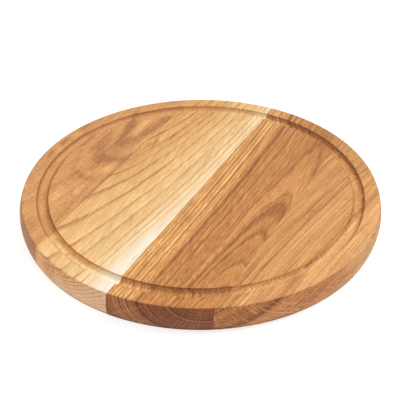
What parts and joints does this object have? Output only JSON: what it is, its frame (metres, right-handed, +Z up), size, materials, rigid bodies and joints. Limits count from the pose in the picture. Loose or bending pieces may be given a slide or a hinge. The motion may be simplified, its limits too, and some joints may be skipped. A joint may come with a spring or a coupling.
{
  "type": "round cutting board",
  "caption": "Round oak cutting board glued up from parallel staves, with a juice groove near its bulging, softened rim; it lies flat on its underside.",
  "frame": {"origin": "centre of the underside, on the surface the board lies on", "axes": "+Z up out of the working side; +Y along the staves and their grain; +X across the staves, from the dark outer stave to the tan one"},
  "size_m": [0.3, 0.3, 0.021],
  "materials": {
    "dark_oak": "oiled heartwood, brown, satin",
    "pale_oak": "oiled heartwood and cream sapwood, satin",
    "amber_oak": "oiled heartwood, amber brown, satin",
    "tan_oak": "oiled heartwood, light tan, satin",
    "dried_glue": "dried wood glue, hairline thin"
  },
  "bodies": {
    "root": {"left_outer_stave": "dark_oak", "left_inner_stave": "pale_oak", "right_inner_stave": "amber_oak", "right_outer_stave": "tan_oak", "left_glue_line": "dried_glue", "middle_glue_line": "dried_glue", "right_glue_line": "dried_glue"}
  },
  "joints": []
}
